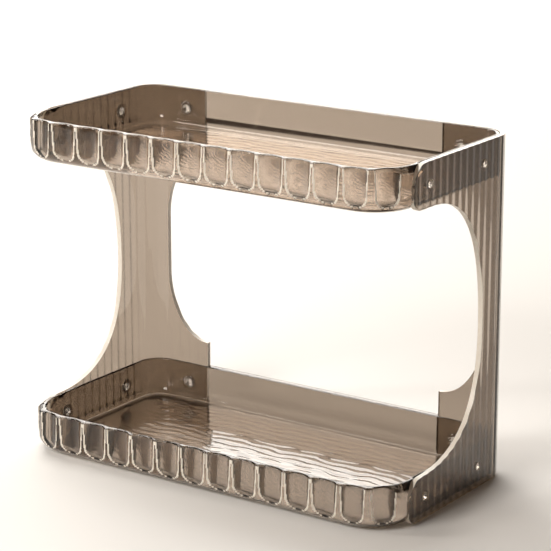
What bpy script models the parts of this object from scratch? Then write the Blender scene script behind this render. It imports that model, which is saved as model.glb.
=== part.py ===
"""Two-tier moulded organiser for a vanity or shelf: two fluted trays held by two C-shaped side panels.

Metres, +Z up, front towards -Y. The origin is the centre of the footprint, on the surface it stands on.
Both trays are one moulding, used twice. Each side panel wraps round a back corner, is cut away in an
arch at the front, and is fixed to both trays by six push-in snap buttons.
"""
import math

import bmesh
import bpy
from mathutils import Matrix, Vector

MM = 0.001

# ---- driving dimensions -------------------------------------------------------------------------
HALF_WIDTH = 170 * MM        # outer faces of the side panels
HALF_DEPTH = 87 * MM
FRONT_RADIUS = 38 * MM       # plan radius of the front corners
BACK_RADIUS = 24 * MM
FOOT_HEIGHT = 1.2 * MM
GAP = 0.3 * MM               # between neighbouring pieces
BASE_Z = FOOT_HEIGHT + GAP   # underside of the lower tray and of the panels
TOP_Z = 265.5 * MM           # rim of the upper tray
TRAY_HEIGHT = 33 * MM
FLOOR = 3 * MM
FRONT_WALL = 7 * MM          # the fluted wall, and the side walls with the panels on them
EDGE_ROUND = 13 * MM         # bottom outside edge of a tray
CAVITY_ROUND = 7 * MM
PANEL = 4 * MM

FLUTE_PITCH = 23.3 * MM
FLUTES_EACH_SIDE = 7         # either side of the middle one, the last on the corner
FLUTE_TOP_RADIUS = 17.5 * MM
FLUTE_LOW_RADIUS = 16.4 * MM
FLUTE_AXIS_OUT = 13.7 * MM   # from the front face out to the cutter's axis
FLUTE_SIDES = 40

REEDS = 21                   # round ribs down the outside of each panel
REED_DEPTH = 0.9 * MM
ARM_FRONT_Y = -56 * MM       # front end of a panel's arms
ARM_RADIUS = 15 * MM
TOE_RADIUS = 8 * MM           # the arms' lower front corners
POST_Y = 42.3 * MM           # deepest point of the arch
POST_Z = 127 * MM
ARCH_TOP_Y = -33 * MM        # where the arch meets the upper arm
ARCH_LOW_LEAD = 24 * MM      # the arch's lower end heads for this y before it turns up
ARCH_HIGH_LEAD = 36 * MM
ARCH_LOW_PULL = 52 * MM      # how long the post's edge stays upright, below and above POST_Z
ARCH_HIGH_PULL = 39 * MM
TAB_X = 110 * MM             # inner edge of a panel's back tabs
TAB_HEIGHT = 52.5 * MM
TAB_LEAD = 24 * MM           # a tab's edge between the tiers stays level for about this far
POST_X = 149 * MM            # inner edge of the post between the tabs
WINDOW_TURN = 56 * MM        # height over which a tab's edge turns into the post's
WINDOW_PULL = 26 * MM

SNAP_SIDE_Y = 41.3 * MM
SNAP_FRONT_Y = -35 * MM       # on the side too, near the arm's front end
SNAP_BACK_X = 127 * MM
SNAP_STEM = 3 * MM           # radius
SNAP_HEAD = 6 * MM           # radius
SNAP_HEAD_THICK = 1.8 * MM
SNAP_FLUSH = 0.5 * MM        # the stem stops this far inside the panel's outer face
SNAP_DOME = 0.6 * MM

FOOT_RADIUS = 6 * MM
FOOT_X = 128 * MM
FOOT_Y = 52 * MM
FOOT_EDGE = 0.3 * MM

QUARTER = 0.5523             # handle length of a Bezier quarter turn, per radius
FAR = 400 * MM               # longer than anything, for cutters
UPPER_Z = TOP_Z - TRAY_HEIGHT
ARM_TOP_Z = BASE_Z + TRAY_HEIGHT

# ---- scene --------------------------------------------------------------------------------------
for old in list(bpy.data.objects):
    bpy.data.objects.remove(old, do_unlink=True)

parts = bpy.data.collections.new("two_tier_organizer")
cutters = bpy.data.collections.new("cutters")
bpy.context.scene.collection.children.link(parts)
bpy.context.scene.collection.children.link(cutters)


def material(name, colour, roughness, alpha):
    mat = bpy.data.materials.new(name)
    mat.use_nodes = True
    shader = mat.node_tree.nodes["Principled BSDF"]
    shader.inputs["Base Color"].default_value = (*colour, 1.0)
    shader.inputs["Roughness"].default_value = roughness
    shader.inputs["Metallic"].default_value = 0.0
    shader.inputs["Alpha"].default_value = alpha
    return mat


def add_object(name, mesh, collection, mat=None):
    obj = bpy.data.objects.new(name, mesh)
    collection.objects.link(obj)
    if mat:
        mesh.materials.clear()
        mesh.materials.append(mat)
    if collection is cutters:
        obj.hide_render = True
        obj.display_type = "WIRE"
    return obj


def shade(obj, degrees=30):
    obj.data.shade_smooth()
    obj.data.set_sharp_from_angle(angle=math.radians(degrees))


# ---- solids from outlines -----------------------------------------------------------------------
def curve_to_mesh(curve_obj, name):
    """The evaluated mesh of a curve, in world space, with its caps welded on."""
    graph = bpy.context.evaluated_depsgraph_get()
    mesh = bpy.data.meshes.new_from_object(curve_obj.evaluated_get(graph))
    mesh.name = name
    mesh.transform(curve_obj.matrix_world)
    bpy.data.objects.remove(curve_obj, do_unlink=True)
    work = bmesh.new()
    work.from_mesh(mesh)
    bmesh.ops.remove_doubles(work, verts=work.verts, dist=0.00001)
    bmesh.ops.recalc_face_normals(work, faces=work.faces)
    work.to_mesh(mesh)
    work.free()
    return mesh


def flat_curve(name, thickness, placement):
    """An empty 2D curve that fills to a slab of the given thickness, centred on its own plane."""
    data = bpy.data.curves.new(name, "CURVE")
    data.dimensions = "2D"
    data.fill_mode = "BOTH"
    data.extrude = thickness / 2
    data.resolution_u = 10
    obj = bpy.data.objects.new(name, data)
    cutters.objects.link(obj)
    obj.matrix_world = placement
    return obj


def prism(name, outline, z_low, z_high):
    """A plan outline, a list of (x, y), carried up from z_low to z_high."""
    placement = Matrix.Translation((0, 0, (z_low + z_high) / 2))
    obj = flat_curve(name, z_high - z_low, placement)
    spline = obj.data.splines.new("POLY")
    spline.points.add(len(outline) - 1)
    for point, (x, y) in zip(spline.points, outline):
        point.co = (x, y, 0, 1)
    spline.use_cyclic_u = True
    bpy.context.view_layer.update()
    return curve_to_mesh(obj, name)


def bezier_slab(name, knots, thickness, placement):
    """A closed outline of (point, left handle, right handle), filled to a slab."""
    obj = flat_curve(name, thickness, placement)
    spline = obj.data.splines.new("BEZIER")
    spline.bezier_points.add(len(knots) - 1)
    for point, (co, left, right) in zip(spline.bezier_points, knots):
        point.handle_left_type = point.handle_right_type = "FREE"
        point.co = (*co, 0)
        point.handle_left = (*left, 0)
        point.handle_right = (*right, 0)
    spline.use_cyclic_u = True
    bpy.context.view_layer.update()
    return curve_to_mesh(obj, name)


def corner(x, y):
    """A Bezier knot without handles."""
    return ((x, y), (x, y), (x, y))


SEEN_FROM_SIDE = Matrix(((0, 0, 1, 0), (1, 0, 0, 0), (0, 1, 0, 0), (0, 0, 0, 1)))  # (u, v) to (y, z)
WINDOW_CUT = 40 * MM         # thickness of the window's cutter, centred on the back face
PEG_LENGTH = 30 * MM
PEG_SIDES = 20
BAND_STEPS = 36              # stations along a recess


def boolean(obj, cutter, operation="DIFFERENCE"):
    """Cuts obj now, so that its mesh holds the result, and drops the cutter."""
    mod = obj.modifiers.new("cut", "BOOLEAN")
    mod.operation = operation
    mod.solver = "EXACT"
    mod.object = cutter
    graph = bpy.context.evaluated_depsgraph_get()
    result = bpy.data.meshes.new_from_object(obj.evaluated_get(graph))
    obj.modifiers.remove(mod)
    obj.data = result
    bpy.data.objects.remove(cutter, do_unlink=True)


def round_low_edges(mesh, radius, segments):
    """Rounds the edges round the underside of a prism."""
    work = bmesh.new()
    work.from_mesh(mesh)
    low = min(v.co.z for v in work.verts)
    faces_below = [f for f in work.faces if all(v.co.z < low + 1e-6 for v in f.verts)]
    bmesh.ops.dissolve_faces(work, faces=faces_below)
    edges = [e for e in work.edges if all(v.co.z < low + 1e-6 for v in e.verts)]
    bmesh.ops.bevel(work, geom=edges, offset=radius, segments=segments, profile=0.5, affect="EDGES")
    work.to_mesh(mesh)
    work.free()


# ---- the footprint ------------------------------------------------------------------------------
FRONT_RUN = HALF_WIDTH - FRONT_RADIUS
SIDE_RUN = 2 * HALF_DEPTH - FRONT_RADIUS - BACK_RADIUS
FRONT_ARC = FRONT_RADIUS * math.pi / 2
BACK_ARC = BACK_RADIUS * math.pi / 2
SIDE_START = FRONT_RUN + FRONT_ARC
BACK_START = SIDE_START + SIDE_RUN + BACK_ARC


def footprint(s, inset=0.0):
    """The point at arc length s along the right half of the footprint, from the middle of the front.

    The path is a straight front, a quarter turn, the straight side, a quarter turn and the straight
    back. inset moves the point inwards, square to the path.
    """
    if s < FRONT_RUN:
        x, y, turn = s, -HALF_DEPTH, -math.pi / 2
    elif s < SIDE_START:
        turn = (s - FRONT_RUN) / FRONT_RADIUS - math.pi / 2
        x = FRONT_RUN + FRONT_RADIUS * math.cos(turn)
        y = FRONT_RADIUS - HALF_DEPTH + FRONT_RADIUS * math.sin(turn)
    elif s < SIDE_START + SIDE_RUN:
        x, y, turn = HALF_WIDTH, s - SIDE_START + FRONT_RADIUS - HALF_DEPTH, 0.0
    elif s < BACK_START:
        turn = (s - SIDE_START - SIDE_RUN) / BACK_RADIUS
        x = HALF_WIDTH - BACK_RADIUS + BACK_RADIUS * math.cos(turn)
        y = HALF_DEPTH - BACK_RADIUS + BACK_RADIUS * math.sin(turn)
    else:
        x, y, turn = HALF_WIDTH - BACK_RADIUS - (s - BACK_START), HALF_DEPTH, math.pi / 2
    return x - inset * math.cos(turn), y - inset * math.sin(turn)


def arc_stations(start, length, steps):
    return [start + length * i / steps for i in range(steps + 1)]


def rounded_plan(inset):
    """The whole footprint, moved in by inset, as a closed list of points."""
    stations = arc_stations(FRONT_RUN, FRONT_ARC, 10) + arc_stations(SIDE_START + SIDE_RUN, BACK_ARC, 8)
    right = [footprint(s - 1e-9, inset) for s in stations]
    left = [(-x, y) for x, y in reversed(right)]
    return right + left


ARM_ANGLE = math.asin((ARM_FRONT_Y + HALF_DEPTH - FRONT_RADIUS) / FRONT_RADIUS)
ARM_START = SIDE_START + ARM_ANGLE * FRONT_RADIUS
TAB_END = BACK_START + HALF_WIDTH - BACK_RADIUS - TAB_X


def band_plan(side, start, end, outer, inner, steps):
    """A strip along the footprint from arc length start to end. outer and inner map s to an inset."""
    stations = arc_stations(start, end - start, steps)
    out = [footprint(s, outer(s)) for s in stations]
    back = [footprint(s, inner(s)) for s in reversed(stations)]
    return [(side * x, y) for x, y in out + back]


# ---- trays --------------------------------------------------------------------------------------
def flute_cutter(side, s):
    """A tapered upright peg, standing outside the wall, that scoops one flute.

    The flute fades out in a U where the wall's rounded lower edge falls away from the peg.
    """
    x, y = footprint(s, -FLUTE_AXIS_OUT)
    work = bmesh.new()
    bmesh.ops.create_cone(work, cap_ends=True, segments=FLUTE_SIDES, radius1=FLUTE_LOW_RADIUS,
                          radius2=FLUTE_TOP_RADIUS, depth=TRAY_HEIGHT + 2 * GAP)
    mesh = bpy.data.meshes.new("flute_cutter")
    work.to_mesh(mesh)
    work.free()
    mesh.transform(Matrix.Translation((side * x, y, TRAY_HEIGHT / 2)))
    return add_object("flute_cutter", mesh, cutters)


def hole_cutter(centre, axis, radius):
    """A round peg through the wall at centre, along X or Y."""
    work = bmesh.new()
    bmesh.ops.create_cone(work, cap_ends=True, segments=PEG_SIDES, radius1=radius, radius2=radius,
                          depth=PEG_LENGTH)
    mesh = bpy.data.meshes.new("hole_cutter")
    work.to_mesh(mesh)
    work.free()
    turn = Vector((0, 0, 1)).rotation_difference(Vector(axis)).to_matrix().to_4x4()
    mesh.transform(Matrix.Translation(centre) @ turn)
    return add_object("hole_cutter", mesh, cutters)


def snap_places(side, z):
    """The three snap positions of one panel at one tray: two on its arm and one on its back tab."""
    return (
        ("front", Vector((side * HALF_WIDTH, SNAP_FRONT_Y, z)), Vector((side, 0, 0))),
        ("side", Vector((side * HALF_WIDTH, SNAP_SIDE_Y, z)), Vector((side, 0, 0))),
        ("back", Vector((side * SNAP_BACK_X, HALF_DEPTH, z)), Vector((0, 1, 0))),
    )


def toe(front, low, radius):
    """An arm's lower front corner as a quarter turn, seen from the side, in (y, z)."""
    handle = radius * QUARTER
    return [
        ((front + radius, low), (front + radius, low), (front + radius - handle, low)),
        ((front, low + radius), (front, low + radius - handle), (front, low + radius)),
    ]


def arm_profile():
    """The recess for one arm seen from the side, in (y, z): the arm's own outline, with a gap round it."""
    front = ARM_FRONT_Y - MM - GAP
    bend = ARM_FRONT_Y + ARM_RADIUS
    start = TRAY_HEIGHT - ARM_RADIUS
    top = TRAY_HEIGHT + GAP
    handle = ARM_RADIUS * QUARTER
    return toe(front, -GAP, TOE_RADIUS + GAP) + [
        ((front, start), (front, start), (front, start + handle)),
        ((bend, top), (bend - handle, top), (bend, top)),
        corner(FAR, top),
        corner(FAR, -FLOOR),
    ]


def recess_cutter(side):
    """The space that a panel's arm, corner and tab take from one tray."""
    plan = band_plan(side, ARM_START - GAP, TAB_END + GAP, lambda s: -FRONT_WALL,
                     lambda s: PANEL + GAP, BAND_STEPS)
    recess = add_object("recess", prism("recess", plan, -2 * FLOOR, TRAY_HEIGHT + FLOOR), cutters)
    slab = bezier_slab("arm_profile", arm_profile(), FAR * 2, SEEN_FROM_SIDE)
    boolean(recess, add_object("arm_profile", slab, cutters), "INTERSECT")
    return recess


def tray_mesh():
    """One tray, its underside at z = 0."""
    block = prism("tray", rounded_plan(0), 0, TRAY_HEIGHT)
    round_low_edges(block, EDGE_ROUND, 5)
    tray = add_object("tray_blank", block, cutters)
    cavity = prism("cavity", rounded_plan(FRONT_WALL), FLOOR, TRAY_HEIGHT + FLOOR)
    round_low_edges(cavity, CAVITY_ROUND, 3)
    boolean(tray, add_object("cavity", cavity, cutters))
    for side in (-1, 1):
        boolean(tray, recess_cutter(side))
        for _, centre, axis in snap_places(side, TRAY_HEIGHT / 2):
            boolean(tray, hole_cutter(centre, axis, SNAP_STEM + GAP))
    for k in range(-FLUTES_EACH_SIDE, FLUTES_EACH_SIDE + 1):
        side = -1 if k < 0 else 1
        boolean(tray, flute_cutter(side, abs(k) * FLUTE_PITCH))
    mesh = tray.data
    bpy.data.objects.remove(tray, do_unlink=True)
    return mesh


# ---- side panels --------------------------------------------------------------------------------
def reed_inset(s):
    """Round ribs: the face dips by REED_DEPTH between one crown and the next, as a parabola."""
    pitch = (TAB_END - ARM_START) / REEDS
    across = (s - ARM_START) / pitch % 1.0 - 0.5
    return REED_DEPTH * (2 * across) ** 2


def side_profile():
    """The panel seen from the side, in (y, z): two arms and, between them, the arch."""
    front = ARM_FRONT_Y - MM
    bend = ARM_FRONT_Y + ARM_RADIUS
    handle = ARM_RADIUS * QUARTER
    return toe(front, BASE_Z, TOE_RADIUS) + [
        ((front, ARM_TOP_Z - ARM_RADIUS), (front, ARM_TOP_Z - ARM_RADIUS),
         (front, ARM_TOP_Z - ARM_RADIUS + handle)),
        ((bend, ARM_TOP_Z), (bend - handle, ARM_TOP_Z), (ARCH_LOW_LEAD, ARM_TOP_Z)),
        ((POST_Y, POST_Z), (POST_Y, POST_Z - ARCH_LOW_PULL), (POST_Y, POST_Z + ARCH_HIGH_PULL)),
        ((ARCH_TOP_Y, UPPER_Z), (ARCH_HIGH_LEAD, UPPER_Z), (ARCH_TOP_Y, UPPER_Z)),
        *toe(front, UPPER_Z, TOE_RADIUS),
        ((front, TOP_Z - ARM_RADIUS), (front, TOP_Z - ARM_RADIUS), (front, TOP_Z - ARM_RADIUS + handle)),
        ((bend, TOP_Z), (bend - handle, TOP_Z), (bend, TOP_Z)),
        corner(FAR, TOP_Z),
        corner(FAR, BASE_Z),
    ]


def back_window():
    """What is cut from the back of the right panel, in (-x, z), between its two tabs."""
    low = BASE_Z + TAB_HEIGHT
    high = TOP_Z - TAB_HEIGHT
    low_turn = low + WINDOW_TURN
    high_turn = high - WINDOW_TURN
    return [
        corner(MM, low),
        ((-TAB_X, low), (-TAB_X, low), (-TAB_X - TAB_LEAD, low)),
        ((-POST_X, low_turn), (-POST_X, low_turn - WINDOW_PULL), (-POST_X, low_turn)),
        ((-POST_X, high_turn), (-POST_X, high_turn), (-POST_X, high_turn + WINDOW_PULL)),
        ((-TAB_X, high), (-TAB_X - TAB_LEAD, high), (-TAB_X, high)),
        corner(MM, high),
    ]


def panel_mesh(side):
    """One side panel, where it stands."""
    reeded = band_plan(side, ARM_START, TAB_END, reed_inset, lambda s: PANEL, 4 * REEDS)
    blank = prism("panel", reeded, BASE_Z - FLOOR, TOP_Z + FLOOR)
    panel = add_object("panel_blank", blank, cutters)
    profile = bezier_slab("side_profile", side_profile(), FAR * 2, SEEN_FROM_SIDE)
    boolean(panel, add_object("side_profile", profile, cutters), "INTERSECT")
    facing_back = Matrix(((-side, 0, 0, 0), (0, 0, 1, HALF_DEPTH), (0, 1, 0, 0), (0, 0, 0, 1)))
    window = bezier_slab("back_window", back_window(), WINDOW_CUT, facing_back)
    boolean(panel, add_object("back_window", window, cutters))
    for z in (BASE_Z, UPPER_Z):
        for _, centre, axis in snap_places(side, z + TRAY_HEIGHT / 2):
            boolean(panel, hole_cutter(centre, axis, SNAP_STEM + GAP))
    mesh = panel.data
    bpy.data.objects.remove(panel, do_unlink=True)
    return mesh


# ---- snap buttons and feet ----------------------------------------------------------------------
def snap_button(name, centre, axis, mat):
    """A push-in button: a low domed head inside the tray and a stem out through wall and panel."""
    tip = -SNAP_FLUSH
    shoulder = -FRONT_WALL - GAP
    head = shoulder - SNAP_HEAD_THICK
    profile = [(0, tip), (SNAP_STEM - SNAP_DOME, tip), (SNAP_STEM, tip - SNAP_DOME), (SNAP_STEM, shoulder),
               (SNAP_HEAD, shoulder), (SNAP_HEAD, head + 2 * SNAP_DOME),
               (SNAP_HEAD - SNAP_DOME, head + SNAP_DOME), (SNAP_HEAD * 0.6, head + SNAP_DOME / 4), (0, head)]
    mesh = bpy.data.meshes.new(name)
    edges = [(i, i + 1) for i in range(len(profile) - 1)]
    mesh.from_pydata([(r, 0, z) for r, z in profile], edges, [])
    button = add_object(name, mesh, parts, mat)
    turned = button.modifiers.new("turned", "SCREW")
    turned.steps = turned.render_steps = 24
    turned.use_merge_vertices = True
    turned.merge_threshold = 0.00001
    button.rotation_mode = "QUATERNION"
    button.rotation_quaternion = Vector((0, 0, 1)).rotation_difference(axis)
    button.location = centre
    shade(button)
    return button


def foot(name, x, y, mat):
    """A soft disc under the lower tray, its lower edge rounded."""
    work = bmesh.new()
    bmesh.ops.create_cone(work, cap_ends=True, segments=28, radius1=FOOT_RADIUS, radius2=FOOT_RADIUS,
                          depth=FOOT_HEIGHT)
    mesh = bpy.data.meshes.new(name)
    work.to_mesh(mesh)
    work.free()
    disc = add_object(name, mesh, parts, mat)
    disc.location = (x, y, FOOT_HEIGHT / 2)
    rounding = disc.modifiers.new("rounding", "BEVEL")
    rounding.width = FOOT_EDGE
    rounding.segments = 2
    rounding.limit_method = "ANGLE"
    shade(disc)
    return disc


# ---- assembly -----------------------------------------------------------------------------------
clear_smoke = material("clear_smoke_plastic", (0.36, 0.30, 0.24), 0.08, 0.55)
clear_snap = material("clear_snap_plastic", (0.62, 0.58, 0.52), 0.12, 0.7)
silicone = material("clear_silicone", (0.70, 0.69, 0.66), 0.45, 0.8)

shared_tray = tray_mesh()
for label, tray_z in (("lower_tray", BASE_Z), ("upper_tray", UPPER_Z)):
    tray_part = add_object(label, shared_tray, parts, clear_smoke)
    tray_part.location = (0, 0, tray_z)
    shade(tray_part)

for label, side_sign in (("left", -1), ("right", 1)):
    panel_part = add_object(f"{label}_side_panel", panel_mesh(side_sign), parts, clear_smoke)
    shade(panel_part)
    for tier, tier_z in (("lower", BASE_Z), ("upper", UPPER_Z)):
        for where, place, outward in snap_places(side_sign, tier_z + TRAY_HEIGHT / 2):
            snap_button(f"snap_{tier}_{label}_{where}", place, outward, clear_snap)
    for end, end_sign in (("front", -1), ("back", 1)):
        foot(f"foot_{end}_{label}", side_sign * FOOT_X, end_sign * FOOT_Y, silicone)
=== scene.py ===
# %% [markdown]
# # A two-tier organizer in clear smoke-tinted plastic
# The object is two open trays, one above the other, carried by two C-shaped side panels. All of it is
# moulded from one see-through plastic with a light brown-grey tint. The lesson builds each moulding as a
# surface in numpy, so that the flutes and reeds are real curves that bend light, and then gives them a
# tinted clear plastic. Their edges carry a painted highlight: a pale cream material that stands in for
# the bright lines light makes along them.

import bpy
import numpy as np
from mathutils import Euler, Matrix, Vector


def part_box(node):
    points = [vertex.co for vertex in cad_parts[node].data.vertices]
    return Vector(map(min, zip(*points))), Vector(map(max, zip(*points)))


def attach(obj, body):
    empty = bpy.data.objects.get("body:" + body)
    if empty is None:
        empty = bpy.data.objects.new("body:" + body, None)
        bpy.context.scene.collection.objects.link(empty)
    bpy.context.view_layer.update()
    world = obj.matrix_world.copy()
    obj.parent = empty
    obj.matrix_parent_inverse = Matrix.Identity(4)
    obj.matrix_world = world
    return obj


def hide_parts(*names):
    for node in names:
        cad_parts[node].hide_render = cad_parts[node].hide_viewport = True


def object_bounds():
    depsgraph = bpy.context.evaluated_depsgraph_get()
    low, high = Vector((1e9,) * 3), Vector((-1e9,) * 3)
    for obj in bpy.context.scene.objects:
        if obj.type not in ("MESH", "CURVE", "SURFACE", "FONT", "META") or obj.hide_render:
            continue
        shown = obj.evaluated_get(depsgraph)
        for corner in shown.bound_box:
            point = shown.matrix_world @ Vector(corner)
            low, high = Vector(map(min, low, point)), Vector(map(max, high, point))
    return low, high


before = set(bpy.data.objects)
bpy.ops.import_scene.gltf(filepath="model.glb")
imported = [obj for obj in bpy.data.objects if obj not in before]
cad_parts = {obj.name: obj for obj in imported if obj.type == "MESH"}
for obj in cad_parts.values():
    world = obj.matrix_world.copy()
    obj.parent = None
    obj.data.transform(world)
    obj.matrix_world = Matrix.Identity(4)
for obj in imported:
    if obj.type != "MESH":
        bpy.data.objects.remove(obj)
cad_low, cad_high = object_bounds()
MM = 0.001
print("CAD box in mm:", [round(v / MM, 1) for v in (*cad_low, *cad_high)])

# %% [markdown]
# The sizes that the mouldings share come from the frame: the outer box gives the footprint, and the two
# trays' boxes give their heights. The rest are the design's own values: wall thicknesses, corner radii and
# the spacing of flutes and reeds.

# %% Sizes from the frame
HALF_WIDTH = (cad_high.x - cad_low.x) / 2
HALF_DEPTH = (cad_high.y - cad_low.y) / 2
BASE_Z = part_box("lower_tray")[0].z
UPPER_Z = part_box("upper_tray")[0].z
TRAY_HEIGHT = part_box("lower_tray")[1].z - BASE_Z
TOP_Z = UPPER_Z + TRAY_HEIGHT
ARM_TOP_Z = BASE_Z + TRAY_HEIGHT
GAP = 0.3 * MM               # between neighbouring mouldings

FRONT_RADIUS = 38 * MM       # plan radius of the front corners
BACK_RADIUS = 24 * MM
FLOOR = 3 * MM
WALL = 7 * MM                # from the footprint to a tray's inner face
EDGE_ROUND = 13 * MM         # outside edge round a tray's underside
CAVITY_ROUND = 7 * MM
PANEL = 4 * MM
ARM_FRONT_Y = -56 * MM       # front end of a panel's arms
ARM_RADIUS = 15 * MM
TOE_RADIUS = 8 * MM          # the arms' lower front corners
TAB_X = 110 * MM             # inner edge of a panel's tabs, behind the trays
print(f"footprint {2 * HALF_WIDTH / MM:.1f} x {2 * HALF_DEPTH / MM:.1f} mm, tray {TRAY_HEIGHT / MM:.1f} mm")

# %% [markdown]
# ## The footprint as a path
# Trays and panels all follow one rounded rectangle. A single arc length s names a place on it: 0 is the
# middle of the front, and it grows to the right, along the side and round to the middle of the back. The
# left half is the same path with s negative. An inset moves a point inwards, square to the path.

# %% The path
FRONT_RUN = HALF_WIDTH - FRONT_RADIUS
SIDE_START = FRONT_RUN + FRONT_RADIUS * np.pi / 2
SIDE_RUN = 2 * HALF_DEPTH - FRONT_RADIUS - BACK_RADIUS
SIDE_END = SIDE_START + SIDE_RUN
BACK_START = SIDE_END + BACK_RADIUS * np.pi / 2
HALF_LOOP = BACK_START + HALF_WIDTH - BACK_RADIUS
ARM_START = SIDE_START + FRONT_RADIUS * np.arcsin((ARM_FRONT_Y + HALF_DEPTH - FRONT_RADIUS) / FRONT_RADIUS)
TAB_END = HALF_LOOP - TAB_X


def footprint(s, inset=0.0):
    """Points on the rounded rectangle, moved inwards by inset.

    The distance run along each straight and the angle turned in each corner are s clipped to that piece
    of the path. x and y add up the runs and the corners' sines and cosines, and the inset is taken off
    along the outward direction, whose angle is the sum of the turns.
    """
    along, side = np.abs(s), np.where(np.asarray(s) < 0, -1.0, 1.0)
    front_turn = np.clip((along - FRONT_RUN) / FRONT_RADIUS, 0, np.pi / 2)
    back_turn = np.clip((along - SIDE_END) / BACK_RADIUS, 0, np.pi / 2)
    heading = front_turn + back_turn - np.pi / 2
    x = (np.clip(along, 0, FRONT_RUN) + FRONT_RADIUS * np.sin(front_turn)
         - BACK_RADIUS * (1 - np.cos(back_turn)) - np.clip(along - BACK_START, 0, None))
    y = (-HALF_DEPTH + FRONT_RADIUS * (1 - np.cos(front_turn)) + np.clip(along - SIDE_START, 0, SIDE_RUN)
         + BACK_RADIUS * np.sin(back_turn))
    return side * (x - inset * np.cos(heading)), y - inset * np.sin(heading)


print(f"half of the path is {HALF_LOOP / MM:.1f} mm")
print(f"a panel covers {ARM_START / MM:.1f} to {TAB_END / MM:.1f} mm of it")

# %% [markdown]
# ## From grids to meshes
# A moulding's surface is a grid of points: rows go up one profile and columns go round the path. Each cell
# becomes a four-sided face. Where the loop is closed the last column joins the first, and the two end rows
# are closed with one flat face each, so that the result is a watertight solid, as light needs it to be.


# %% Grid helpers
def add_piece(name, mesh):
    obj = bpy.data.objects.new(name, mesh)
    bpy.context.scene.collection.objects.link(obj)
    return obj


def closed_grid(name, points):
    """A mesh from points[row, column, xyz]: quads between neighbours, columns wrapping, ends capped."""
    rows, columns = points.shape[:2]
    index = np.arange(rows * columns).reshape(rows, columns)
    right = np.roll(index, -1, axis=1)
    quads = np.stack([index[:-1], right[:-1], right[1:], index[1:]], axis=-1).reshape(-1, 4)
    caps = [index[0][::-1].tolist(), index[-1].tolist()]
    mesh = bpy.data.meshes.new(name)
    mesh.from_pydata(points.reshape(-1, 3), [], quads.tolist() + caps)
    mesh.validate()
    return mesh


def shade(mesh, degrees):
    """Smooth shading, with edges that turn by more than degrees left sharp."""
    mesh.shade_smooth()
    mesh.set_sharp_from_angle(angle=np.radians(degrees))


MOULDING_SHARP = 34          # degrees
TURNED_SHARP = 40
print("edges stay sharp above", MOULDING_SHARP, "degrees, and above", TURNED_SHARP, "on turned shapes")

# %% [markdown]
# ## The fluted tray
# Each tray is an open box with a rounded lower edge. Its front wall and corners are scooped by flutes, as
# if a tapered peg 33 to 35 mm thick had been pressed in upright every 23.3 mm. Each scoop is widest at the
# rim and fades out in a U where the lower edge rounds away. Narrow ridges are left between them. A ridge's
# corners are slightly rounded, and the faces along them get a painted highlight further on.

# %% The flutes as a depth
FLUTE_PITCH = 23.3 * MM
FLUTES_EACH_SIDE = 7
PEG_LOW = 16.4 * MM          # radius of the peg at the underside and at the rim
PEG_TOP = 17.5 * MM
PEG_OUT = 13.7 * MM          # from the wall's face out to the peg's axis
RIDGE_SOFT = 0.35 * MM
RIDGE_LINE = 0.60 * MM       # depth on both sides of a ridge's edge whose faces get the painted highlight


def flute_depth(s, z):
    """How deep the nearest peg cuts at path s and height z.

    With d from the peg's axis to the wall and m the inward direction, the cut ends where the point
    d + depth * m is one peg radius from the axis, which is the larger root of a quadratic. It is
    negative where the peg doesn't reach.
    """
    nearest = np.clip(np.round(s / FLUTE_PITCH), -FLUTES_EACH_SIDE, FLUTES_EACH_SIDE) * FLUTE_PITCH
    radius = PEG_LOW + (PEG_TOP - PEG_LOW) * z / TRAY_HEIGHT
    axis_x, axis_y = footprint(nearest, -PEG_OUT)
    wall_x, wall_y = footprint(s)
    inner_x, inner_y = footprint(s, MM)
    step_x, step_y = (inner_x - wall_x) / MM, (inner_y - wall_y) / MM
    gap_x, gap_y = wall_x - axis_x, wall_y - axis_y
    ahead = gap_x * step_x + gap_y * step_y
    inside = ahead ** 2 - gap_x ** 2 - gap_y ** 2 + radius ** 2
    return np.where(inside > 0, np.sqrt(np.maximum(inside, 0)) - ahead, -MM)


def soft_max(a, b, blend):
    """The larger of a and b, with the corner where they cross rounded over a width of blend."""
    near = np.clip(1 - np.abs(a - b) / blend, 0, 1)
    return np.maximum(a, b) + blend * near ** 2 / 4


print(f"a flute is {(PEG_TOP - PEG_OUT) / MM:.1f} mm deep at the rim")

# %% [markdown]
# The profile is walked from the underside, round the lower edge, up the wall, over the rim and down inside
# to the floor. Each row of it has a height, and an inset that may change along the path. The panels lie in
# a recess that ends in the same curves as a panel's arm, 15 mm above and 8 mm below, so the two columns that
# make its step are slid along the path near the rim and near the underside.

# %% Columns of the tray
RECESS = PANEL + GAP
RECESS_START = ARM_START - GAP
RECESS_END = TAB_END + GAP
STEP = 0.02 * MM             # the two columns of a step are this far apart
SLIDE_BACK = 10 * MM         # the slide dies out this far before the step
SLIDE_ON = 45 * MM           # and this far behind it
FLUTED = (FLUTES_EACH_SIDE + 0.5) * FLUTE_PITCH
FLUTE_COLUMN = 0.56 * MM      # spacing of the columns that draw the flutes


def spaced(start, end, step):
    """Places from start to just before end, at most a step apart."""
    return np.linspace(start, end, int(np.ceil((end - start) / step)), endpoint=False)


half_columns = np.concatenate([
    spaced(0, FLUTED, FLUTE_COLUMN),
    spaced(FLUTED, RECESS_START - STEP, 1.2 * MM), [RECESS_START - STEP],
    spaced(RECESS_START, RECESS_START + SLIDE_ON, 1.5 * MM),
    spaced(RECESS_START + SLIDE_ON, SIDE_END, 4 * MM), spaced(SIDE_END, BACK_START, 1.1 * MM),
    spaced(BACK_START, RECESS_END, 3 * MM), [RECESS_END, RECESS_END + STEP],
    spaced(RECESS_END + 2 * MM, HALF_LOOP, 4 * MM)])
columns = np.concatenate([-half_columns[:0:-1], half_columns, [HALF_LOOP]])
in_recess = (np.abs(columns) > RECESS_START - STEP / 2) & (np.abs(columns) < RECESS_END + STEP / 2)
print(len(columns), "columns round a tray")

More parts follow.
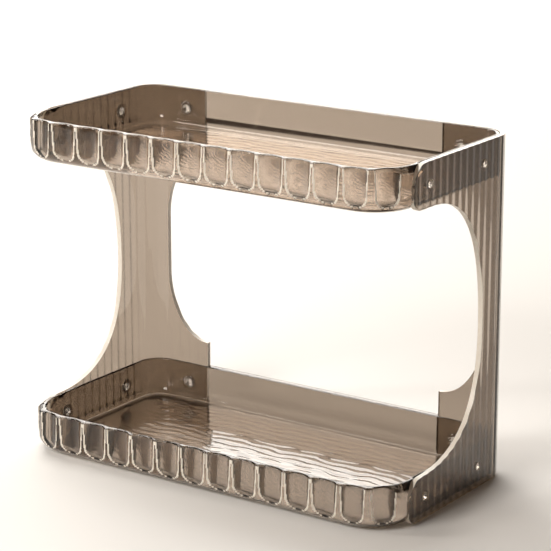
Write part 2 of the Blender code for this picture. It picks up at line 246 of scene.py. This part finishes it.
# %% [markdown]
# The inside of the floor isn't quite flat: it has low ripples that run along the tray, 8.5 mm apart, as on
# water. They are little more than a tenth of a millimetre high, but at a low angle they break a reflection
# into long streaks. The floor's rows shrink from the wall's foot onto a line along the middle of the tray.

# %% The rippled floor
FLAT_IN = 19 * MM            # the underside's face, and the ripples, start from this inset
RIPPLE = 0.13 * MM           # from the mean to a crest
RIPPLE_PITCH = 8.5 * MM
RIPPLE_FADE = 7 * MM
FLOOR_ROWS = 56
FLOOR_REACH = 0.975          # share of the way to the spine that the rows go
SPINE = HALF_WIDTH - HALF_DEPTH


def ripple_height(x, y):
    """Long waves across y whose phase wanders with x and y, times an uneven strength along x."""
    wander = (1.1 * np.sin(2 * np.pi * (x / 61 + y / 83) / MM)
              + 0.8 * np.sin(2 * np.pi * (x / 37 - y / 47) / MM + 1.0)
              + 0.5 * np.sin(2 * np.pi * (x / 23 + y / 31) / MM + 2.3))
    strength = 0.75 + 0.25 * np.sin(2 * np.pi * x / (29 * MM) + 3 * np.sin(2 * np.pi * y / (53 * MM)))
    return RIPPLE * strength * np.sin(2 * np.pi * y / RIPPLE_PITCH + wander)


def floor_points(z):
    """Rows from the inset where the floor is flat to just short of the spine, at height z plus ripples."""
    x0, y0 = footprint(columns, FLAT_IN)
    share = np.linspace(0, FLOOR_REACH, FLOOR_ROWS)[:, None]
    x = x0 + share * (np.clip(x0, -SPINE, SPINE) - x0)
    y = y0 * (1 - share)
    from_wall = np.minimum(HALF_WIDTH - FLAT_IN - np.abs(x), HALF_DEPTH - FLAT_IN - np.abs(y))
    fade = np.clip(from_wall / RIPPLE_FADE, 0, 1)
    return np.stack([x, y, z + ripple_height(x, y) * fade * fade * (3 - 2 * fade)], axis=-1)


floor_z = floor_points(FLOOR)[..., 2]
print(f"the floor lies between {floor_z.min() / MM:.2f} and {floor_z.max() / MM:.2f} mm")

# %% [markdown]
# ## Rows of the tray
# The rim is crowned, so it has a bright line along its middle. In front of each arm its outer edge is lower,
# as the arm's own rounded corner is, and it climbs back over the next stretch of the path.

# %% Rows of the tray
RIM_CROWN = 1.0 * MM         # how much the rim's middle stands above its two edges
SHOULDER_DROP = 4.5 * MM     # how much lower the rim's outer edge is in front of an arm
SHOULDER = np.array([164, 176, 186, 208]) * MM       # along the path: level, lowest, lowest, level again


def tray_rows():
    """Height, inset and kind of every row: 0 outside, 1 over the rim, 2 inside.

    A rim row's inset is the share of the way from the outer face to the inner one, from 0 to 1.
    """
    turn = np.linspace(0, np.pi / 2, 15)
    crown = np.linspace(0, np.pi, 15)
    wall = np.linspace(EDGE_ROUND, TRAY_HEIGHT - RIM_CROWN, 8)[1:]
    inner_turn = np.linspace(0, np.pi / 2, 10)
    pieces = [
        (np.zeros(1), np.full(1, FLAT_IN), 2),
        (EDGE_ROUND * (1 - np.cos(turn)), EDGE_ROUND * (1 - np.sin(turn)), 0),
        (wall, np.zeros(len(wall)), 0),
        (TRAY_HEIGHT - RIM_CROWN * (1 - np.sin(crown[1:])), (1 - np.cos(crown[1:])) / 2, 1),
        (np.linspace(TRAY_HEIGHT - RIM_CROWN, FLOOR + CAVITY_ROUND, 6)[1:-1], np.full(4, WALL), 2),
        (FLOOR + CAVITY_ROUND * (1 - np.sin(inner_turn)),
         WALL + CAVITY_ROUND * (1 - np.cos(inner_turn)), 2),
    ]
    z, inset, kind = zip(*[(h, i, np.full(len(h), k)) for h, i, k in pieces])
    return np.concatenate(z), np.concatenate(inset), np.concatenate(kind)


print(len(tray_rows()[0]), "rows from the underside to the floor's edge")

# %% [markdown]
# Rows and columns now meet in one surface. The same step finds the ridge lines: the places where the flute's
# cut and the plain outside are less than RIDGE_LINE apart.


# %% Points of the tray
def tray_points():
    """All points of a tray, its underside at height 0, as rows by columns, and where the ridge lines are.

    Outside, the inset is the soft maximum of the lower edge's rounding and the flutes' depth, and at
    least the recess where a panel lies. Over the rim it goes from that to the wall's inner face as a half
    ellipse, and inside rows keep their own.
    """
    z, inset, kind = (a[:, None] for a in tray_rows())
    rounds = ((ARM_RADIUS, z - (TRAY_HEIGHT - ARM_RADIUS)), (TOE_RADIUS, TOE_RADIUS - z))
    slide = sum(radius + GAP - np.sqrt((radius + GAP) ** 2 - np.clip(arc, 0, radius) ** 2)
                for radius, arc in rounds)
    place = np.abs(columns)[None]
    weight = np.interp(place, [RECESS_START - SLIDE_BACK, RECESS_START - STEP, RECESS_START,
                               RECESS_START + SLIDE_ON], [0, 1, 1, 0])
    s = columns[None] + np.sign(columns)[None] * slide * weight * (kind < 2)
    plain, scooped = np.where(kind == 0, inset, 0), flute_depth(s, z)
    ridge = (np.abs(scooped - plain) < RIDGE_LINE) & (kind == 0) & (np.abs(s) < FLUTED)
    outside = soft_max(plain, scooped, RIDGE_SOFT)
    outside = np.where(in_recess[None], np.maximum(outside, RECESS), outside)
    bump = np.interp(place, SHOULDER, [0, 1, 1, 0])
    climb = np.where(kind == 0, np.clip((z - EDGE_ROUND) / (TRAY_HEIGHT - RIM_CROWN - EDGE_ROUND), 0, 1),
                     np.where(kind == 1, (1 - inset) ** 2, 0))
    z = z - SHOULDER_DROP * bump * bump * (3 - 2 * bump) * climb
    over_rim = outside + (WALL - outside) * inset
    total = np.where(kind == 0, outside, np.where(kind == 1, over_rim, inset))
    x, y = footprint(s, total)
    walls = np.stack([x, y, np.broadcast_to(z, x.shape)], axis=-1)
    return np.concatenate([walls, floor_points(FLOOR)]), ridge


points, ridge = tray_points()
print(points.shape[0], "rows by", points.shape[1], "columns of points")

# %% [markdown]
# The mesh has two material slots: clear plastic, and a pale one that paints a highlight. A face takes the
# painted highlight when at least three of its four corners lie on a ridge line.


# %% The tray's mesh
def set_painted_highlight_slots(mesh, painted_highlight):
    """Two empty material slots; the faces where the mask is true take the second, which holds the painted
    highlight.
    """
    mesh.materials.append(None)
    mesh.materials.append(None)
    mesh.polygons.foreach_set("material_index", painted_highlight.astype(np.int32))


fine_tray = closed_grid("fine_tray", points)
# faces with three or more corners on a ridge line get the painted highlight
corners = sum(np.roll(ridge, -turn, axis=1)[rows].astype(int)
              for turn in (0, 1) for rows in (slice(None, -1), slice(1, None)))
painted_highlight = np.zeros(len(fine_tray.polygons), bool)
painted_highlight[:corners.size] = corners.ravel() > 2
set_painted_highlight_slots(fine_tray, painted_highlight)
print(len(fine_tray.polygons), "faces in a tray,", painted_highlight.sum(), "of them on ridge lines")

# %% [markdown]
# ## Cutting holes
# The snap buttons pass through round holes in tray and panel. Holes are cut with a Boolean and a cutter
# made of plain pegs. The same cutter idea shapes the panels, whose outline is drawn with Bezier curves.


# %% Prisms and cuts
def prism(name, outline, low, high, axes):
    """A flat outline carried from low to high along a third axis. axes places the three in x, y, z."""
    outline = np.asarray(outline, float)
    u, v = outline.T
    if np.sum(u * np.roll(v, -1) - v * np.roll(u, -1)) < 0:
        outline = outline[::-1]
    flat = np.stack([np.column_stack([outline, np.full(len(outline), h)]) for h in (low, high)])
    return closed_grid(name, flat[..., np.argsort(axes)])


def carved(mesh, cutter_meshes, operation="DIFFERENCE"):
    """The mesh after one Boolean with all the cutters, which must not touch each other."""
    body = add_piece("body", mesh)
    cutter = bpy.data.meshes.new("cutter")
    points, faces, offset = [], [], 0
    for one in cutter_meshes:
        co = np.empty(len(one.vertices) * 3)
        one.vertices.foreach_get("co", co)
        points.append(co.reshape(-1, 3))
        faces += [[offset + v for v in p.vertices] for p in one.polygons]
        offset += len(one.vertices)
    cutter.from_pydata(np.concatenate(points), [], faces)
    tool = add_piece("tool", cutter)
    cut = body.modifiers.new("cut", "BOOLEAN")
    cut.operation, cut.solver, cut.object = operation, "EXACT", tool
    result = bpy.data.meshes.new_from_object(body.evaluated_get(bpy.context.evaluated_depsgraph_get()))
    for scrap in (body, tool):
        bpy.data.objects.remove(scrap, do_unlink=True)
    return result


print("helpers ready: prism and carved")

# %% [markdown]
# Each snap has its own hole. The places are shared by the holes here and by the buttons further on.

# %% Holes for the snaps
SNAP_SIDE_Y = 41.3 * MM
SNAP_FRONT_Y = -35 * MM
SNAP_BACK_X = 127 * MM
SNAP_STEM = 3 * MM
HOLE_SIDES = 40
HOLE_LENGTH = 20 * MM        # longer than tray wall and panel together


def hole_pegs(sides, heights):
    """Round pegs where the snaps go: along x through each side and along y through each tab."""
    turn = np.linspace(0, 2 * np.pi, HOLE_SIDES, endpoint=False)
    ring = (SNAP_STEM + GAP) * np.column_stack([np.cos(turn), np.sin(turn)])
    pegs = []
    for side in sides:
        for z in heights:
            across = sorted((side * (HALF_WIDTH + GAP), side * (HALF_WIDTH - HOLE_LENGTH)))
            pegs += [prism("peg", ring + [y, z], *across, (1, 2, 0)) for y in (SNAP_SIDE_Y, SNAP_FRONT_Y)]
            pegs.append(prism("peg", ring + [z, side * SNAP_BACK_X], HALF_DEPTH - HOLE_LENGTH,
                              HALF_DEPTH + GAP, (2, 0, 1)))
    return pegs


fine_tray = carved(fine_tray, hole_pegs((-1, 1), [TRAY_HEIGHT / 2]))
print(len(fine_tray.polygons), "faces after the six holes")

# %% Both trays
pieces = {}
for node, z in (("lower_tray", BASE_Z), ("upper_tray", UPPER_Z)):
    mesh = fine_tray.copy()
    mesh.transform(Matrix.Translation((0, 0, z)))
    shade(mesh, MOULDING_SHARP)
    pieces[node] = add_piece("fluted_" + node, mesh)
    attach(pieces[node], "root")
    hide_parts(node)
print("trays stand at", [round(z / MM, 1) for z in (BASE_Z, UPPER_Z)], "mm")

# %% [markdown]
# ## The side panels
# A panel is a reeded strip that wraps round the back corner, cut to a C: an arm beside each tray and a post
# behind the arch. The strip is drawn in plan, with one round reed after another on its outside, and carried
# straight up. Two cuts give its outline: the arch, seen from the side, and the window between its two back
# tabs. A fine bevel rounds every edge, and the faces cut across the thickness get a painted highlight.

# %% The reeded strip
REEDS = 21
REED_DEPTH = 0.5 * MM
REED_STEPS = 14
POST_Y = 42.3 * MM           # deepest point of the arch
POST_Z = 127 * MM
POST_X = 149 * MM            # inner edge of the post between the tabs


def reeded_strip():
    """Plan outline of the right panel: the reeded face outwards, and the smooth face 4 mm inside it.

    The face dips between two crowns by REED_DEPTH, as half of one minus a cosine wave.
    """
    s = np.linspace(ARM_START, TAB_END, REEDS * REED_STEPS + 1)
    wave = 2 * np.pi * REEDS * (s - ARM_START) / (TAB_END - ARM_START)
    outer = np.column_stack(footprint(s, REED_DEPTH * (1 + np.cos(wave)) / 2))
    inner = np.column_stack(footprint(s[::-1], PANEL))
    return np.concatenate([outer, inner])


strip = prism("strip", reeded_strip(), BASE_Z - FLOOR, TOP_Z + FLOOR, (0, 1, 2))
print(f"{REEDS} reeds, {(TAB_END - ARM_START) / REEDS / MM:.1f} mm apart")

# %% [markdown]
# ### Curves for the outlines
# A cubic Bezier leaves its first point towards the second and arrives at its last from the third. With
# handles of 0.5523 of the way to the corner it is very nearly a quarter of a circle.

# %% Curves
ROUND_HANDLE = 0.5523


def bezier(start, out, back, end, steps=40):
    """Points on a cubic Bezier, without its end: the four points weighted by the cubic Bernstein terms."""
    t = np.arange(steps)[:, None] / steps
    points = np.array([start, out, back, end])[:, None]
    weights = np.stack([(1 - t) ** 3, 3 * t * (1 - t) ** 2, 3 * t ** 2 * (1 - t), t ** 3])
    return (points * weights).sum(axis=0)


def quarter(start, corner_point, end, steps=16):
    """A quarter turn from start to end, tangent to the lines that meet at corner_point."""
    start, corner_point, end = (np.array(p) for p in (start, corner_point, end))
    out = start + ROUND_HANDLE * (corner_point - start)
    back = end + ROUND_HANDLE * (corner_point - end)
    return bezier(start, out, back, end, steps)


print(len(quarter((0, 0), (1, 0), (1, 1))), "points in a quarter turn")

# %% [markdown]
# ### The arch and the window
# Seen from the side a panel is a C. Its arch is drawn with two Beziers that meet, upright, at the arch's
# deepest point. The window between the back tabs is drawn the same way.

# %% The arch
FAR = 400 * MM               # well past the object
FRONT = ARM_FRONT_Y
LOW_LEAD = 24 * MM           # how far back the arch's lower and upper curves reach before they turn
HIGH_LEAD = 36 * MM
ARCH_TOP_Y = -33 * MM        # where the arch's upper curve ends, under the upper arm
ARCH_LOW_Z = 75 * MM         # heights of the two handles at the deepest point
ARCH_HIGH_Z = 166 * MM


def c_outline():
    """The panel from the side, in (y, z): arms with round front corners and the arch between them."""
    bend, heel = FRONT + ARM_RADIUS, FRONT + TOE_RADIUS
    return np.concatenate([
        quarter((heel, BASE_Z), (FRONT, BASE_Z), (FRONT, BASE_Z + TOE_RADIUS)),
        quarter((FRONT, ARM_TOP_Z - ARM_RADIUS), (FRONT, ARM_TOP_Z), (bend, ARM_TOP_Z)),
        bezier((bend, ARM_TOP_Z), (LOW_LEAD, ARM_TOP_Z), (POST_Y, ARCH_LOW_Z), (POST_Y, POST_Z), 70),
        bezier((POST_Y, POST_Z), (POST_Y, ARCH_HIGH_Z), (HIGH_LEAD, UPPER_Z), (ARCH_TOP_Y, UPPER_Z), 70),
        [[ARCH_TOP_Y, UPPER_Z]],
        quarter((heel, UPPER_Z), (FRONT, UPPER_Z), (FRONT, UPPER_Z + TOE_RADIUS)),
        quarter((FRONT, TOP_Z - ARM_RADIUS), (FRONT, TOP_Z), (bend, TOP_Z)),
        [[bend, TOP_Z], [FAR, TOP_Z], [FAR, BASE_Z]]])


right = carved(strip, [prism("arch", c_outline(), 0, FAR, (1, 2, 0))], "INTERSECT")
print(len(right.polygons), "faces in the C")

# %% The window, and the snaps' holes
LOW_TAB_Z = 54 * MM          # top of the lower tab
TAB_LEAD = 24 * MM           # how far past its end a tab's edge runs on before it turns
LOW_WINDOW = 84 * MM, 110 * MM                       # handle and end of the lower curve, in height
HIGH_WINDOW = 30 * MM, 56 * MM                       # the same for the upper one, down from its tab


def window_outline():
    """The opening between the tabs of the right panel, in (z, x)."""
    high_tab = TOP_Z - (LOW_TAB_Z - BASE_Z)
    return np.concatenate([
        [[LOW_TAB_Z, 0]],
        bezier((LOW_TAB_Z, TAB_X), (LOW_TAB_Z, TAB_X + TAB_LEAD),
               (LOW_WINDOW[0], POST_X), (LOW_WINDOW[1], POST_X)),
        bezier((high_tab - HIGH_WINDOW[1], POST_X), (high_tab - HIGH_WINDOW[0], POST_X),
               (high_tab, TAB_X + TAB_LEAD), (high_tab, TAB_X)),
        [[high_tab, TAB_X], [high_tab, 0]]])


window = prism("window", window_outline(), HALF_DEPTH - 2 * WALL, HALF_DEPTH + WALL, (2, 0, 1))
snap_heights = [BASE_Z + TRAY_HEIGHT / 2, UPPER_Z + TRAY_HEIGHT / 2]
right = carved(right, [window] + hole_pegs((1,), snap_heights))
print(len(right.polygons), "faces in a side panel")

# %% [markdown]
# The left panel is the right one mirrored. The cut faces are found by their direction: they are square to
# the way out through the panel's thickness.

# %% Both panels
EDGE_BEVEL = 0.5 * MM
SQUARE_ENOUGH = 0.35         # a cut face's normal has less than this along the way out


def mirrored(mesh):
    """A copy with x reversed, and its faces turned so that they still point outwards."""
    copy = mesh.copy()
    copy.transform(Matrix.Scale(-1, 4, (1, 0, 0)))
    copy.flip_normals()
    return copy


def cut_faces(mesh):
    """True for faces cut across a panel's thickness, whose normal is square to the way out of the corner.

    The way out is the part of a face's centre that lies past the back corner's centre, in x and in y.
    """
    centre, normal = (np.empty(len(mesh.polygons) * 3) for _ in range(2))
    mesh.polygons.foreach_get("center", centre)
    mesh.polygons.foreach_get("normal", normal)
    centre, normal = centre.reshape(-1, 3), normal.reshape(-1, 3)
    past = np.abs(centre[:, :2]) - (np.array([HALF_WIDTH, HALF_DEPTH]) - BACK_RADIUS)
    past[:, 1] *= centre[:, 1] > 0
    out = np.clip(past, 0, None) * np.sign(centre[:, :2])
    out /= np.linalg.norm(out, axis=1, keepdims=True)
    return np.abs((out * normal[:, :2]).sum(axis=1)) < SQUARE_ENOUGH


# the cut faces take the painted highlight
set_painted_highlight_slots(right, cut_faces(right))
left = mirrored(right)
for side_name, mesh in (("left", left), ("right", right)):
    node = side_name + "_side_panel"
    shade(mesh, MOULDING_SHARP)
    pieces[node] = add_piece("reeded_" + node, mesh)
    bevel = pieces[node].modifiers.new("polished edge", "BEVEL")
    bevel.width, bevel.segments, bevel.limit_method = EDGE_BEVEL, 3, "ANGLE"
    bevel.angle_limit = np.radians(60)
    bevel.harden_normals = True
    bevel.miter_outer = "MITER_ARC"
    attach(pieces[node], "root")
    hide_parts(node)
# the cut faces counted here carry the painted highlight
print(int(cut_faces(right).sum()), "cut faces on a panel are satin")

# %% [markdown]
# ## Snap buttons and feet
# Both are turned shapes: a short profile of radius and height, carried round an axis. A snap button has a
# domed head inside the tray, with ten small petals round a grooved middle, and a stem that ends just short
# of the panel's face. The feet are soft discs with rounded rims. Where a profile starts or ends on the axis,
# its ring shrinks almost to a point and is closed there.

# %% Turned shapes
AROUND = 80
PETALS = 10
TINY = 1e-7                  # radius of a ring that closes on the axis


def turned(name, radius, height, centre, axis, petal=0.0):
    """A profile carried round axis: each point becomes a ring of AROUND points at its own height.

    petal, one value a point, is how far PETALS waves round the ring lift and lower it.
    """
    turn = np.linspace(0, 2 * np.pi, AROUND, endpoint=False)
    lift = np.broadcast_to(petal, len(radius))[:, None] * np.cos(PETALS * turn)
    height = np.asarray(height)[:, None] + lift
    r = np.maximum(np.asarray(radius), TINY)[:, None]
    ring = np.stack([r * np.cos(turn), r * np.sin(turn), height], axis=-1)
    mesh = closed_grid(name, ring)
    facing = Vector((0, 0, 1)).rotation_difference(Vector(axis)).to_matrix().to_4x4()
    mesh.transform(Matrix.Translation(centre) @ facing)
    shade(mesh, TURNED_SHARP)
    return mesh


def rounded(corners, radius, steps=5):
    """A profile of straight runs through corners, each inner corner cut back and turned smoothly."""
    corners = np.asarray(corners, float)
    out = [corners[:1]]
    for before, at, after in zip(corners[:-2], corners[1:-1], corners[2:]):
        to_before, to_after = before - at, after - at
        cut = min(radius, 0.45 * np.linalg.norm(to_before), 0.45 * np.linalg.norm(to_after))
        start = at + cut * to_before / np.linalg.norm(to_before)
        end = at + cut * to_after / np.linalg.norm(to_after)
        t = np.linspace(0, 1, steps)[:, None]
        out.append((1 - t) ** 2 * start + 2 * t * (1 - t) * at + t ** 2 * end)
    return np.concatenate(out + [corners[-1:]])


print("turned shapes have", AROUND, "sides")

# %% [markdown]
# A snap's heights are measured from the panel's outside, and are negative inwards.

# %% Snap buttons
SNAP_HEAD = 6 * MM           # radius
SNAP_HEAD_THICK = 1.8 * MM
SNAP_FLUSH = 0.5 * MM        # how far the stem ends below the panel's outside
SNAP_EDGE = 0.6 * MM         # rounding along the profile
PETAL = 0.55 * MM            # lift of a petal at the head's edge
shoulder = -WALL - GAP
crown = shoulder - SNAP_HEAD_THICK
snap_profile = rounded([
    (0, crown + 0.5 * MM), (SNAP_HEAD * 0.25, crown + 0.8 * MM), (SNAP_HEAD * 0.4, crown + 0.5 * MM),
    (SNAP_HEAD * 0.55, crown + 1.1 * MM), (SNAP_HEAD * 0.75, crown + 0.6 * MM),
    (SNAP_HEAD, crown + 1.2 * MM), (SNAP_HEAD, shoulder),
    (SNAP_STEM, shoulder), (SNAP_STEM, -SNAP_FLUSH), (0, -SNAP_FLUSH)], SNAP_EDGE)
on_face = (snap_profile[:, 1] < crown + 1.15 * MM) & (snap_profile[:, 0] > SNAP_HEAD * 0.3)
snap_petal = np.where(on_face, PETAL * snap_profile[:, 0] / SNAP_HEAD, 0)
for side_name, side in (("left", -1), ("right", 1)):
    for tier, z in zip(("lower", "upper"), snap_heights):
        spots = {"front": ((side * HALF_WIDTH, SNAP_FRONT_Y, z), (side, 0, 0)),
                 "side": ((side * HALF_WIDTH, SNAP_SIDE_Y, z), (side, 0, 0)),
                 "back": ((side * SNAP_BACK_X, HALF_DEPTH, z), (0, 1, 0))}
        for where, (centre, axis) in spots.items():
            node = f"snap_{tier}_{side_name}_{where}"
            mesh = turned(node, snap_profile[:, 0], snap_profile[:, 1], centre, axis, snap_petal)
            pieces[node] = add_piece("button_" + node[5:], mesh)
            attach(pieces[node], "root")
            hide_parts(node)
print(sum(node.startswith("snap") for node in pieces), "snap buttons")

# %% Feet
foot_low, foot_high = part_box("foot_front_right")
foot_radius = (foot_high.x - foot_low.x) / 2
foot_profile = rounded([(0, 0), (foot_radius * 0.93, 0), (foot_radius, foot_high.z * 0.6),
                        (foot_radius * 0.96, foot_high.z), (0, foot_high.z)], 0.5 * MM)
for end in ("front", "back"):
    for side_name in ("left", "right"):
        node = f"foot_{end}_{side_name}"
        low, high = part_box(node)
        centre = ((low.x + high.x) / 2, (low.y + high.y) / 2, 0)
        mesh = turned(node, foot_profile[:, 0], foot_profile[:, 1], centre, (0, 0, 1))
        pieces[node] = add_piece("soft_" + node, mesh)
        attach(pieces[node], "root")
        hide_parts(node)
print(len(pieces), "pieces made")

# %% [markdown]
# ## Materials
# Colours are written as sRGB hex values, as a paint chart gives them, and turned to the linear values that
# light is summed in. One helper adds a node with its settings and links.


# %% Material helpers
def linear(hex_colour):
    """sRGB hex to linear RGBA: the straight part near black, and the 2.4 power curve above it."""
    value = np.array([int(hex_colour[i:i + 2], 16) / 255 for i in (0, 2, 4)])
    value = np.where(value <= 0.04045, value / 12.92, ((value + 0.055) / 1.055) ** 2.4)
    return (*value.tolist(), 1.0)


def new_material(name):
    """A material with an empty node tree."""
    mat = bpy.data.materials.new(name)
    mat.use_nodes = True
    mat.node_tree.nodes.clear()
    return mat


def add_node(mat, kind, links=(), settings=(), **inputs):
    """Adds a node. settings are its own properties, inputs its sockets, links are (output, socket)."""
    node = mat.node_tree.nodes.new(kind)
    for key, value in dict(settings).items():
        setattr(node, key, value)
    for key, value in inputs.items():
        node.inputs[key.replace("_", " ")].default_value = value
    for output, socket in links:
        mat.node_tree.links.new(output, node.inputs[socket])
    return node


print("mid grey 808080 is", round(linear("808080")[0], 3), "in linear light")

# %% [markdown]
# ### Smoke-tinted clear plastic
# The trays and panels are made as clear acrylic, which bends light with an IOR of 1.49. Most of the tint is
# given where light passes a face, so every wall darkens what is behind it by the same share. A little more
# is taken along the way inside, so edge-on parts are slightly deeper. Slow waves of about 20 mm bend what is
# seen through the walls, and finer marks make the gloss uneven.

# %% Clear plastic
ACRYLIC_IOR = 1.49
TINT_INSIDE = "a2968a"
TINT_DENSITY = 5.0           # per metre
FLOW_WAVE = 20 * MM
HANDLING_MARK = 4 * MM


def clear_plastic(name, surface, body, density, ior=ACRYLIC_IOR):
    """A see-through plastic: surface tints each pass through a face, body the way inside."""
    mat = new_material(name)
    place = add_node(mat, "ShaderNodeTexCoord")
    waves = add_node(mat, "ShaderNodeTexNoise", [(place.outputs["Object"], "Vector")],
                     Scale=1 / FLOW_WAVE, Detail=2.0, Roughness=0.4)
    handling = add_node(mat, "ShaderNodeTexNoise", [(place.outputs["Object"], "Vector")],
                        Scale=1 / HANDLING_MARK, Detail=4.0, Roughness=0.6)
    gloss = add_node(mat, "ShaderNodeMapRange", [(handling.outputs["Fac"], "Value")],
                     From_Min=0.35, From_Max=0.75, To_Min=0.01, To_Max=0.05)
    relief = add_node(mat, "ShaderNodeBump", [(waves.outputs["Fac"], "Height")],
                      Strength=0.35, Distance=0.25 * MM)
    shader = add_node(mat, "ShaderNodeBsdfPrincipled",
                      [(gloss.outputs["Result"], "Roughness"), (relief.outputs["Normal"], "Normal")],
                      Base_Color=linear(surface), Transmission_Weight=1.0, IOR=ior)
    depth = add_node(mat, "ShaderNodeVolumeAbsorption", Color=linear(body), Density=density)
    add_node(mat, "ShaderNodeOutputMaterial",
             [(shader.outputs["BSDF"], "Surface"), (depth.outputs["Volume"], "Volume")])
    return mat


smoke_acrylic = clear_plastic("smoke_tinted_moulded_acrylic", "a39689", TINT_INSIDE, TINT_DENSITY)
clear_button = clear_plastic("clear_moulded_polycarbonate", "dcd4ca", "b8ab9a", 20.0, ior=1.58)
print("made", smoke_acrylic.name, "and", clear_button.name)

# %% [markdown]
# ### Painted highlight on the edges
# The faces cut across a panel's thickness, and the lines where a flute meets a ridge, get a painted
# highlight.
# Most of the light that falls on them scatters off a pale cream colour, so they stand out pale against the
# clear faces, in place of the bright lines that light makes along such edges. A noise mottles the painted
# highlight. The plastic behind them has the same tint.

# %% Painted highlight on the edges
HIGHLIGHT_MOTTLE_SIZE = 3 * MM
# a pale cream material that paints a highlight on edges, where light would make bright lines
painted_highlight_edge = new_material("painted_highlight_moulded_acrylic_edge")
edge_place = add_node(painted_highlight_edge, "ShaderNodeTexCoord")
highlight_mottle = add_node(painted_highlight_edge, "ShaderNodeTexNoise", [(edge_place.outputs["Object"], "Vector")],
                      Scale=1 / HIGHLIGHT_MOTTLE_SIZE, Detail=3.0)
# a noise mottles the painted highlight between two pale creams
painted_highlight_tone = add_node(painted_highlight_edge, "ShaderNodeMix", [(highlight_mottle.outputs["Fac"], "Factor")],
                     {"data_type": "RGBA"})
painted_highlight_tone.inputs[6].default_value, painted_highlight_tone.inputs[7].default_value = linear("efe3d2"), linear("fff9ee")
edge_shader = add_node(painted_highlight_edge, "ShaderNodeBsdfPrincipled", [(painted_highlight_tone.outputs[2], "Base Color")],
                       Roughness=0.3, IOR=ACRYLIC_IOR, Transmission_Weight=0.2)
edge_depth = add_node(painted_highlight_edge, "ShaderNodeVolumeAbsorption", Color=linear(TINT_INSIDE),
                      Density=TINT_DENSITY)
add_node(painted_highlight_edge, "ShaderNodeOutputMaterial",
         [(edge_shader.outputs["BSDF"], "Surface"), (edge_depth.outputs["Volume"], "Volume")])
print("made", painted_highlight_edge.name)

# %% [markdown]
# ### Silicone feet
# Cast silicone is milky and satin. Half of the light passes through it, the surface is fairly rough, and a
# fine grain clouds its colour.

# %% Silicone
GRAIN = 0.6 * MM
silicone = new_material("translucent_cast_silicone")
silicone_place = add_node(silicone, "ShaderNodeTexCoord")
grain = add_node(silicone, "ShaderNodeTexNoise", [(silicone_place.outputs["Object"], "Vector")],
                 Scale=1 / GRAIN, Detail=3.0)
grain_bump = add_node(silicone, "ShaderNodeBump", [(grain.outputs["Fac"], "Height")],
                      Strength=0.3, Distance=0.03 * MM)
cloud = add_node(silicone, "ShaderNodeMix",
                 [(grain.outputs["Fac"], "Factor")], {"data_type": "RGBA"})
cloud.inputs[6].default_value, cloud.inputs[7].default_value = linear("cfcbc4"), linear("dcd9d3")
silicone_shader = add_node(silicone, "ShaderNodeBsdfPrincipled",
                           [(cloud.outputs[2], "Base Color"), (grain_bump.outputs["Normal"], "Normal")],
                           Roughness=0.45, IOR=1.41, Transmission_Weight=0.5)
add_node(silicone, "ShaderNodeOutputMaterial", [(silicone_shader.outputs["BSDF"], "Surface")])
print("made", silicone.name)

# %% [markdown]
# Trays and panels already have two slots, so theirs are filled. The others take one material each.

# %% Materials onto pieces
for node, piece in pieces.items():
    if node.startswith("snap"):
        piece.data.materials.append(clear_button)
    elif node.startswith("foot"):
        piece.data.materials.append(silicone)
    else:
        # the second slot holds the painted highlight for ridge lines and cut faces
        piece.data.materials[0], piece.data.materials[1] = smoke_acrylic, painted_highlight_edge
print("materials on", sum(bool(piece.data.materials[0]) for piece in pieces.values()), "pieces")

# %% [markdown]
# ## Studio
# Clear plastic shows what is round it. The floor is pale, and the room round it is dimmer, so edges that
# look sideways turn dark and give the object its outline. A wide box behind is what the rims and the floor's
# ripples mirror. One box hangs above, one stands in front, and a tall narrow one stands on the left.

# %% Floor and room
floor_mesh = bpy.data.meshes.new("floor")
reach = 8.0                  # half the floor's width, in metres
floor_mesh.from_pydata([(-reach, -reach, 0), (reach, -reach, 0), (reach, reach, 0), (-reach, reach, 0)],
                       [], [(0, 1, 2, 3)])
floor = add_piece("floor", floor_mesh)
floor_paint = new_material("pale_matt_floor")
floor_shader = add_node(floor_paint, "ShaderNodeBsdfPrincipled", Base_Color=linear("ecebe8"),
                        Roughness=0.8)
add_node(floor_paint, "ShaderNodeOutputMaterial", [(floor_shader.outputs["BSDF"], "Surface")])
floor_mesh.materials.append(floor_paint)

world = bpy.data.worlds.new("dim_room")
bpy.context.scene.world = world
world.use_nodes = True
room = world.node_tree.nodes["Background"]
room.inputs["Color"].default_value = linear("6e6157")
room.inputs["Strength"].default_value = 0.7
print("floor and room ready")


# %% Lights
def soft_box(name, place, aim, width, height, power, colour="fffaf4"):
    """A rectangular area light at place, turned towards aim. Sizes in metres, power in watts."""
    data = bpy.data.lights.new(name, "AREA")
    data.shape, data.size, data.size_y = "RECTANGLE", width, height
    data.energy = power
    data.color = linear(colour)[:3]
    lamp = add_piece(name, data)
    lamp.location = place
    lamp.rotation_euler = (Vector(aim) - Vector(place)).to_track_quat("-Z", "Y").to_euler()
    return lamp


lamps = [soft_box("overhead", (-0.9, 0.4, 1.6), (0, 0, 0.1), 1.2, 1.0, 22),
         soft_box("behind", (-1.5, 2.15, 1.22), (0, 0, 0.13), 2.8, 1.36, 56),
         soft_box("left_strip", (-1.3, -0.9, 0.7), (0, 0, 0.13), 0.18, 1.1, 8),
         soft_box("front_box", (-0.4, -1.8, 1.2), (0, 0, 0.0), 1.0, 0.8, 30)]
print(len(lamps), "soft boxes,", sum(lamp.data.energy for lamp in lamps), "W together")

# %% [markdown]
# ## Camera
# A long lens from the front right, a little above the rim of the upper tray, so that verticals stay nearly
# parallel and both trays' floors can be seen.

# %% Camera
camera_data = bpy.data.cameras.new("camera")
camera = add_piece("camera", camera_data)
camera.location = (0.9681, -1.3823, 0.6190)
camera.rotation_euler = Euler(np.radians((90 - 15.59, 0, 34.59)))
camera_data.sensor_width = 36
camera_data.lens = 151.4
bpy.context.scene.camera = camera
bpy.context.scene.view_settings.view_transform = "Standard"
print(f"camera {camera.location.length:.2f} m from the origin")
